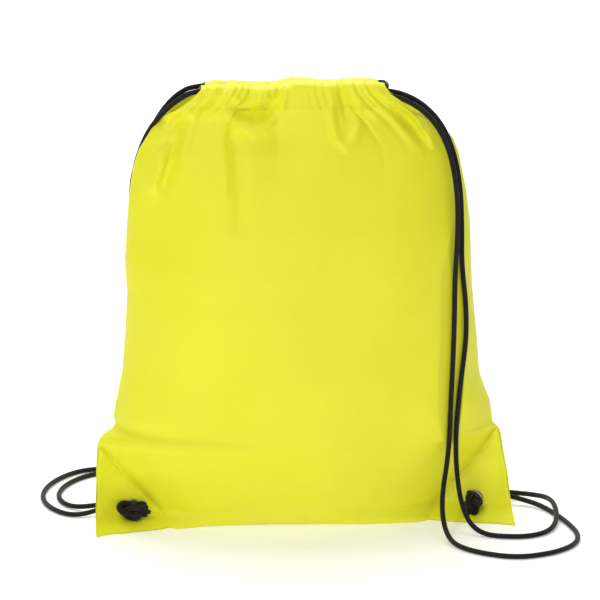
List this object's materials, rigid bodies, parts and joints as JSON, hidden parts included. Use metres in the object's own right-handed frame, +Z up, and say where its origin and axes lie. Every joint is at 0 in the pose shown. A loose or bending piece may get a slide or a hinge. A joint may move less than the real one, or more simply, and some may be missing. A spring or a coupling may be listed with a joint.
{
  "type": "drawstring backpack",
  "caption": "Lightweight cinch bag: two sewn fabric panels, a gathered hem tunnel at the mouth, and two cords that double as shoulder straps, knotted through eyelets in the bottom corners.",
  "frame": {"origin": "on the floor under the bag, midway between the bottom corners and between the panels", "axes": "+Z up, -Y towards the front panel, +X towards the bag's right as seen from the front"},
  "size_m": [0.4501, 0.2827, 0.384],
  "materials": {
    "bag_fabric": "plain woven polyester, soft sheen",
    "cord_braid": "round braided polyester",
    "eyelet_metal": "nickel-plated brass"
  },
  "bodies": {
    "bag": {"front_panel": "bag_fabric", "back_panel": "bag_fabric", "front_hem_middle": "bag_fabric", "back_hem_middle": "bag_fabric", "front_left_patch": "bag_fabric", "front_right_patch": "bag_fabric", "back_left_patch": "bag_fabric", "back_right_patch": "bag_fabric", "left_eyelet": "eyelet_metal", "right_eyelet": "eyelet_metal", "left_eyelet_washer": "eyelet_metal", "right_eyelet_washer": "eyelet_metal", "left_knot": "cord_braid", "right_knot": "cord_braid", "right_front_strand": "cord_braid", "right_back_strand": "cord_braid", "left_front_strand": "cord_braid", "left_back_strand": "cord_braid"},
    "right_cord": {"right_cord_loop": "cord_braid"},
    "left_cord": {"left_cord_loop": "cord_braid"},
    "left_mouth_end": {"front_hem_left": "bag_fabric", "back_hem_left": "bag_fabric"},
    "right_mouth_end": {"front_hem_right": "bag_fabric", "back_hem_right": "bag_fabric"}
  },
  "joints": [
    {"name": "right_cord_pull", "type": "slide", "parent": "bag", "child": "right_cord", "axis": [1, 0, 0], "range_m": [-0.035, 0.03]},
    {"name": "left_cord_pull", "type": "slide", "parent": "bag", "child": "left_cord", "axis": [-1, 0, 0], "range_m": [-0.035, 0.03]},
    {"name": "left_mouth_end_draw", "type": "slide", "parent": "bag", "child": "left_mouth_end", "axis": [1, 0, 0], "range_m": [-0.035, 0.03], "deforming": ["left_front_strand", "left_back_strand"]},
    {"name": "right_mouth_end_draw", "type": "slide", "parent": "bag", "child": "right_mouth_end", "axis": [-1, 0, 0], "range_m": [-0.035, 0.03], "deforming": ["right_front_strand", "right_back_strand"]}
  ],
  "couplings": [
    {"joint": "left_mouth_end_draw", "follows": "right_cord_pull", "ratio": 1},
    {"joint": "right_mouth_end_draw", "follows": "left_cord_pull", "ratio": 1}
  ]
}
